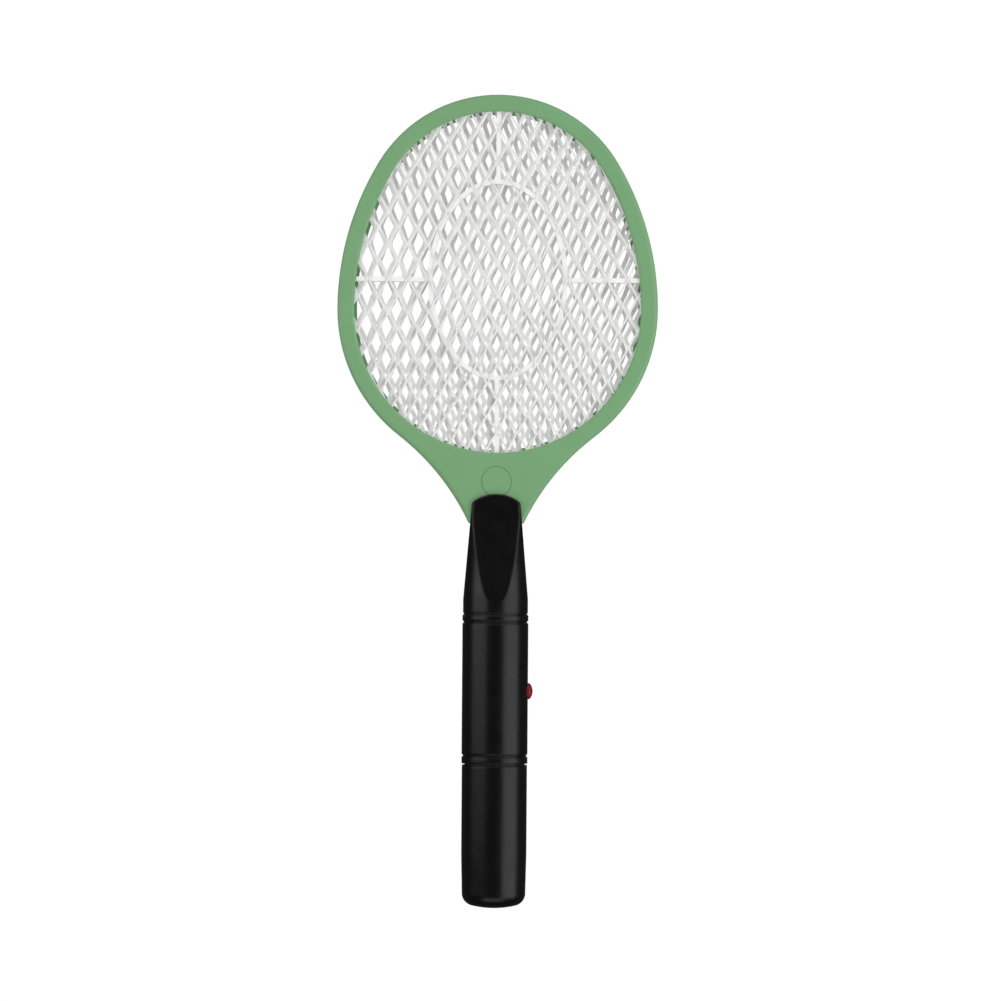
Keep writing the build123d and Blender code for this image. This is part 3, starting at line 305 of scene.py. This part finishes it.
def battery_sleeve():
    """Printed sleeve on a cell: graphite body, a plain lighter band and bare crimped ends."""
    low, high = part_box("battery_1")
    other_low, other_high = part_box("battery_2")
    bottom = max(low.z, other_low.z)
    top = min(high.z, other_high.z)
    g = Graph("battery_can")
    height = g.node("ShaderNodeSeparateXYZ")
    g.link(g.place, height.inputs["Vector"])
    height = height.outputs["Z"]
    above = g.math("GREATER_THAN", height, bottom + BARE_END)
    below = g.math("LESS_THAN", height, top - BARE_END)
    sleeve = g.math("MULTIPLY", above, below)
    band_low = bottom + BAND_SHARE * (top - bottom)
    over_band = g.math("GREATER_THAN", height, band_low)
    under_band = g.math("LESS_THAN", height, top - BAND_TOP)
    band = g.math("MULTIPLY", over_band, under_band)
    printed = g.blend(g.noise(0.4 * MM), (0.030, 0.055, 0.110), (0.045, 0.075, 0.140))
    printed = g.blend(band, printed, (0.52, 0.50, 0.44))
    g.colour(g.blend(sleeve, (0.62, 0.62, 0.60), printed))
    g.link(g.math("SUBTRACT", 1.0, sleeve), g.shader.inputs["Metallic"])
    g.rough(g.span(g.noise(0.7 * MM, detail=3.0), 0.20, 0.34, 0.3, 0.7))
    g.bump(sleeve, 0.10 * MM)
    g.bump(g.noise(2.5 * MM), 0.02 * MM)
    return g.material


FINISHES = {
    "green_plastic": green,
    "black_plastic": black,
    "white_plastic": white,
    "red_plastic": red,
    "tray_plastic": tray,
    "mesh_metal": mesh_metal,
    "screw_steel": screw_steel,
    "contact_metal": contact_metal,
    "board": circuit_board(),
    "ferrite": ferrite(),
    "winding_tape": winding_tape(),
    "film_capacitor": lacquer("film_capacitor", (0.33, 0.045, 0.020), 0.20, 0.05 * MM),
    "disc_ceramic": lacquer("disc_ceramic", (0.045, 0.15, 0.42), 0.34, 0.04 * MM),
    "resistor_lacquer": lacquer("resistor_lacquer", (0.56, 0.42, 0.25), 0.30, 0.03 * MM),
    "battery_can": battery_sleeve(),
    "red_insulation": plastic("red_insulation", (0.50, 0.02, 0.02), 0.35, 0.3 * MM, 0.006 * MM, 0.08),
    "black_insulation": plastic("black_insulation", (0.012, 0.012, 0.012), 0.35, 0.3 * MM, 0.006 * MM, 0.15),
}

for part in frame["record"]["subparts"]:
    data = NODES[part["node"]].data
    data.materials.clear()
    data.materials.append(FINISHES[part["material_slot"]])

# ---- expanded metal meshes ------------------------------------------------------------------

# The opening's shape, as wide and as high as the frame says.
MESH_GROW = 2.6 * MM  # how far the meshes reach behind the ring
OPENING_RISE = 112.1 * MM
TOP_RADIUS = 69.5 * MM
mesh_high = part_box("mesh_front")[1]
OPENING_HALF = mesh_high.x - MESH_GROW
OPENING_Z = mesh_high.z - MESH_GROW - OPENING_RISE
SIDE_RADIUS = (OPENING_HALF**2 + OPENING_RISE**2 - 2 * OPENING_RISE * TOP_RADIUS) / (
    2 * (OPENING_HALF - TOP_RADIUS)
)
SIDE_X = SIDE_RADIUS - OPENING_HALF
TOP_CENTRE_Z = OPENING_Z + OPENING_RISE - TOP_RADIUS
SIDE_SWEEP = math.atan2(TOP_CENTRE_Z - OPENING_Z, SIDE_X)

CELL_W = 11.3 * MM
CELL_H = 19.3 * MM
STRAND_T = 0.34 * MM
BEND = 0.965  # nearer to 1 is a sharper bend at the joints
JOINT_SHARE = 0.46  # of a strand's width, by which two strands stand off each other at a joint
STRAND_TWIST = 0.10 * MM
TAB_W = 4.9 * MM
TAB_EDGE = 0.08 * MM
ROOM_EDGE = 18 * MM  # the outer meshes reach their full bulge this far inside the opening
SHARP_ANGLE = math.radians(50)
CELL_STEPS = (0.0, 0.05, 0.11, 0.20, 0.35, 0.5, 0.65, 0.80, 0.89, 0.95)


def outside(x, z):
    """How far a point lies outside the opening's edge; negative inside it."""
    if z < OPENING_Z:
        return math.hypot(x, z - OPENING_Z) - OPENING_HALF
    across, up = abs(x) + SIDE_X, z - OPENING_Z
    if math.atan2(up, across) < SIDE_SWEEP:
        return math.hypot(across, up) - SIDE_RADIUS
    return math.hypot(x, z - TOP_CENTRE_Z) - TOP_RADIUS


def drift(x, z, seed):
    """Uneven stretching of a sheet: a smooth sideways and lengthways offset."""
    a = math.sin(x * 61 + seed) * math.cos(z * 47 - 2 * seed) + 0.4 * math.sin(x * 233 + z * 310 + seed)
    b = math.sin(z * 83 + 3 * seed) * math.cos(x * 39 + seed) + 0.4 * math.sin(z * 270 - x * 190 + seed)
    return 0.55 * MM * a, 0.7 * MM * b


def strand_runs(index, layer):
    """The parts of one zigzag strand that lie within the sheet, as lists of (x, z)."""
    pivot_x, pivot_z, turn, stretch_x, stretch_z, seed, reach, width = layer
    first_row = math.floor((OPENING_Z - OPENING_HALF - pivot_z) / (CELL_H / 2)) - 2
    last_row = math.ceil((OPENING_Z + OPENING_RISE - pivot_z) / (CELL_H / 2)) + 2
    middle = (index + 0.5) * CELL_W / 2
    swing = CELL_W / 4 - JOINT_SHARE * width
    side = -1 if index % 2 == 0 else 1
    runs, run, last = [], [], None
    for half_row in range(first_row, last_row):
        for step in CELL_STEPS:
            row = half_row + step
            bend = math.asin(BEND * math.cos(math.pi * row)) / math.asin(BEND)
            u = (middle + side * swing * bend) * stretch_x
            v = row * CELL_H / 2 * stretch_z
            x = pivot_x + u * math.cos(turn) - v * math.sin(turn)
            z = pivot_z + u * math.sin(turn) + v * math.cos(turn)
            dx, dz = drift(x, z, seed)
            x, z = x + dx, z + dz
            depth = outside(x, z) - reach
            if last is not None and (depth < 0) != (last[2] < 0):
                share = last[2] / (last[2] - depth)
                cut = (last[0] + share * (x - last[0]), last[1] + share * (z - last[1]))
                run.append(cut)
                if depth >= 0:
                    runs.append(run)
                    run = []
            if depth < 0:
                run.append((x, z))
            last = (x, z, depth)
    return [run for run in runs if len(run) > 2]


# A strand's section, going round, in shares of its width and thickness.
FLAT = 0.30
SIDE = 0.22
PROFILE = [
    (-0.5, -SIDE),
    (-FLAT, -0.5),
    (FLAT, -0.5),
    (0.5, -SIDE),
    (0.5, SIDE),
    (FLAT, 0.5),
    (-FLAT, 0.5),
    (-0.5, SIDE),
]


def skin(bm, rings):
    """Faces from each ring of points to the next, and one over each end."""
    count = len(rings[0])
    for first, second in zip(rings, rings[1:]):
        for k in range(count):
            bm.faces.new((first[k], first[(k + 1) % count], second[(k + 1) % count], second[k]))
    bm.faces.new(list(reversed(rings[0])))
    bm.faces.new(rings[-1])


def stand_in(bm, name, node):
    """A finished piece on the racket, shown in place of a CAD node and in that node's material."""
    slot = next(part["material_slot"] for part in frame["record"]["subparts"] if part["node"] == node)
    bmesh.ops.recalc_face_normals(bm, faces=bm.faces)
    data = bpy.data.meshes.new(name)
    bm.to_mesh(data)
    bm.free()
    for face in data.polygons:
        face.use_smooth = True
    data.set_sharp_from_angle(angle=SHARP_ANGLE)
    data.materials.append(FINISHES[slot])
    piece = bpy.data.objects.new(name, data)
    bpy.context.scene.collection.objects.link(piece)
    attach(piece, "racket")
    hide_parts(node)
    return piece


def sweep_strand(bm, points, level, width):
    """A flat rounded strand along points, closed at its ends; level(x, z) is its depth."""
    rings = []
    for i, (x, z) in enumerate(points):
        before, after = points[max(0, i - 1)], points[min(len(points) - 1, i + 1)]
        along = Vector((after[0] - before[0], 0, after[1] - before[1])).normalized()
        across = Vector((along.z, 0, -along.x))
        centre = Vector((x, level(x, z), z))
        twist = STRAND_TWIST * along.x  # strands lean a little, as the stretched sheet leaves them
        ring = []
        for wide, thick in PROFILE:
            offset = across * (wide * width)
            y = thick * STRAND_T + 2 * wide * twist
            ring.append(bm.verts.new(centre + offset + Vector((0, y, 0))))
        rings.append(ring)
    skin(bm, rings)


def wire_mesh(name, node, layer, bulge):
    """One expanded metal sheet with its soldering tab, in place of a CAD mesh."""
    low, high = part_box(node)
    middle_y = (low.y + high.y) / 2
    seed = layer[5]

    def level(x, z):
        room = min(1.0, max(0.0, -outside(x, z) / ROOM_EDGE))
        wavy = math.sin(x * 95 + seed) * math.sin(z * 70 + 2 * seed)
        return middle_y + bulge * room * (0.7 + 0.3 * wavy)

    bm = bmesh.new()
    columns = 2 + int(OPENING_HALF / (CELL_W / 2))
    for index in range(-columns, columns):
        for run in strand_runs(index, layer):
            sweep_strand(bm, run, level, layer[7])
    tab_x = GROUND_TAB_X if node != "mesh_centre" else -GROUND_TAB_X
    tab_top = OPENING_Z - OPENING_HALF
    tab = bmesh.ops.create_cube(bm, size=1.0)["verts"]
    bmesh.ops.scale(bm, vec=(TAB_W, STRAND_T, tab_top - low.z), verts=tab)
    bmesh.ops.translate(bm, vec=(tab_x, middle_y, (tab_top + low.z) / 2), verts=tab)
    bmesh.ops.bevel(
        bm,
        geom=list({edge for vert in tab for edge in vert.link_edges}),
        offset=TAB_EDGE,
        segments=1,
        affect="EDGES",
    )
    stand_in(bm, name, node)


ground_low, ground_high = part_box("ground_terminal")
GROUND_TAB_X = (ground_low.x + ground_high.x) / 2
CROSS_Z = 254.1 * MM
PIVOT_Z = CROSS_Z + 2.5 * CELL_H  # the lattices fall in step here and drift apart below

# pivot x, pivot z, turn, stretch across, stretch along, seed, reach behind the ring, strand width
LAYERS = {
    "mesh_front": (0.0, CROSS_Z - CELL_H / 2, 0.0, 1.0, 1.0, 0.4, 1.8 * MM, 1.1 * MM),
    "mesh_centre": (-1.9 * MM, PIVOT_Z, math.radians(0.5), 0.992, 0.94, 1.7, 1.6 * MM, 2.3 * MM),
    "mesh_back": (1.5 * MM, PIVOT_Z, math.radians(-1.3), 1.010, 1.012, 2.9, 1.8 * MM, 2.4 * MM),
}
BULGES = {"mesh_front": -0.5 * MM, "mesh_centre": 0.0, "mesh_back": 0.5 * MM}
for node, layer in LAYERS.items():
    wire_mesh("wire_" + node, node, layer, BULGES[node])

# ---- button spring --------------------------------------------------------------------------

COIL_WIRE_R = 0.25 * MM
COIL_TURNS = 5
COIL_STEPS = 40  # rings of points in a turn
COIL_SIDES = 12


def button_coil():
    """The button's return spring, wound as a coil of round wire along the CAD spring's length."""
    low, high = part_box("button_spring")
    radius = (high.y - low.y) / 2 - COIL_WIRE_R
    rise = high.x - low.x - 2 * COIL_WIRE_R
    axis_y, axis_z = (low.y + high.y) / 2, (low.z + high.z) / 2
    count = COIL_TURNS * COIL_STEPS
    bm = bmesh.new()
    rings = []
    for i in range(count + 1):
        turn = 2 * math.pi * i / COIL_STEPS
        outward = Vector((0, math.cos(turn), math.sin(turn)))
        centre = Vector((low.x + COIL_WIRE_R + rise * i / count, axis_y, axis_z)) + radius * outward
        climb = rise / (2 * math.pi * COIL_TURNS * radius)
        along = Vector((climb, -math.sin(turn), math.cos(turn))).normalized()
        side = along.cross(outward)
        ring = []
        for k in range(COIL_SIDES):
            angle = 2 * math.pi * k / COIL_SIDES
            spoke = math.cos(angle) * outward + math.sin(angle) * side
            ring.append(bm.verts.new(centre + COIL_WIRE_R * spoke))
        rings.append(ring)
    skin(bm, rings)
    spring = stand_in(bm, "coil_button_spring", "button_spring")
    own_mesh(spring)


button_coil()

# ---- floor, light and camera ----------------------------------------------------------------

centre = (cad_low + cad_high) / 2
FLOOR_SIZE = 9.0
FLOOR_DROP = 1.3


def make_floor():
    """A pale studio floor, well below the swatter."""
    g = Graph("floor_paper")
    g.colour(g.blend(g.noise(0.35, detail=3.0), (0.80, 0.80, 0.79), (0.84, 0.84, 0.83)))
    g.rough(g.span(g.noise(0.02), 0.75, 0.9))
    g.bump(g.noise(0.004), 0.1 * MM)
    g.set(Emission_Color=(1.0, 1.0, 1.0, 1.0), Emission_Strength=0.80)
    bm = bmesh.new()
    bmesh.ops.create_grid(bm, x_segments=8, y_segments=8, size=FLOOR_SIZE)
    data = bpy.data.meshes.new("floor")
    bm.to_mesh(data)
    bm.free()
    data.materials.append(g.material)
    floor = bpy.data.objects.new("floor", data)
    floor.location = (0, 0, cad_low.z - FLOOR_DROP)
    bpy.context.scene.collection.objects.link(floor)
    floor.visible_glossy = False
    floor.visible_diffuse = False


make_floor()


def softbox(name, azimuth, elevation, distance, width, height, radiance, aim=centre):
    """A soft area light round the swatter: azimuth 0 is in front and 90 on its right."""
    a, e = math.radians(azimuth), math.radians(elevation)
    back = Vector((math.sin(a) * math.cos(e), -math.cos(a) * math.cos(e), math.sin(e)))
    light = bpy.data.lights.new(name, "AREA")
    light.shape = "RECTANGLE"
    light.size, light.size_y = width, height
    light.energy = radiance * math.pi * width * height
    made = bpy.data.objects.new(name, light)
    made.location = aim + back * distance
    made.rotation_mode = "QUATERNION"
    made.rotation_quaternion = (-back).to_track_quat("-Z", "Y")
    made.visible_camera = False
    bpy.context.scene.collection.objects.link(made)
    return made


softbox("left_box", -58, 0, 1.2, 1.25, 0.8, 1.6, centre + Vector((0, 0, 0.25)))
softbox("right_box", 58, 0, 1.2, 1.25, 1.7, 1.55)
softbox("top_box", 0, 62, 1.5, 1.6, 0.9, 1.1)
softbox("low_box", 0, -55, 1.4, 1.6, 0.7, 1.0)
softbox("back_box", 180, 30, 1.8, 1.6, 1.6, 0.8)

world = bpy.data.worlds.new("studio")
bpy.context.scene.world = world
world.use_nodes = True
world_nodes = world.node_tree.nodes
world_links = world.node_tree.links
background = world_nodes["Background"]
background.inputs["Color"].default_value = (1.0, 1.0, 1.0, 1.0)
light_path = world_nodes.new("ShaderNodeLightPath")
AMBIENT = 0.42  # what diffuse surfaces see all round
GLOSSY_AMBIENT = 0.05  # a darker room in reflections, so the black handle stays black
PAGE = 1.02  # what the camera sees behind the swatter
brightness = world_nodes.new("ShaderNodeMapRange")
brightness.inputs["To Min"].default_value = AMBIENT
brightness.inputs["To Max"].default_value = PAGE
world_links.new(light_path.outputs["Is Camera Ray"], brightness.inputs["Value"])
dimmed = world_nodes.new("ShaderNodeMath")
dimmed.operation = "MULTIPLY_ADD"
dimmed.inputs[1].default_value = GLOSSY_AMBIENT - AMBIENT
world_links.new(light_path.outputs["Is Glossy Ray"], dimmed.inputs[0])
world_links.new(brightness.outputs["Result"], dimmed.inputs[2])
world_links.new(dimmed.outputs["Value"], background.inputs["Strength"])
world.cycles.sampling_method = "NONE"

LENS = 200.0
SENSOR = 36.0
FRAME_WIDTH = 0.5678  # width of the picture at the swatter
LEAN = math.radians(0.41)

camera_data = bpy.data.cameras.new("camera")
camera_data.lens = LENS
camera_data.sensor_width = SENSOR
camera = bpy.data.objects.new("camera", camera_data)
bpy.context.scene.collection.objects.link(camera)
aim = centre + Vector((2.4 * MM, 0, 0.6 * MM))
camera.location = (aim.x, -FRAME_WIDTH * LENS / SENSOR, aim.z)
camera.rotation_mode = "QUATERNION"
level_view = Vector((0, 1, 0)).to_track_quat("-Z", "Z")
camera.rotation_quaternion = Matrix.Rotation(-LEAN, 3, "Y").to_quaternion() @ level_view
camera_data.clip_start = 0.1
camera_data.clip_end = 50.0
bpy.context.scene.camera = camera
bpy.context.scene.view_settings.view_transform = "Standard"
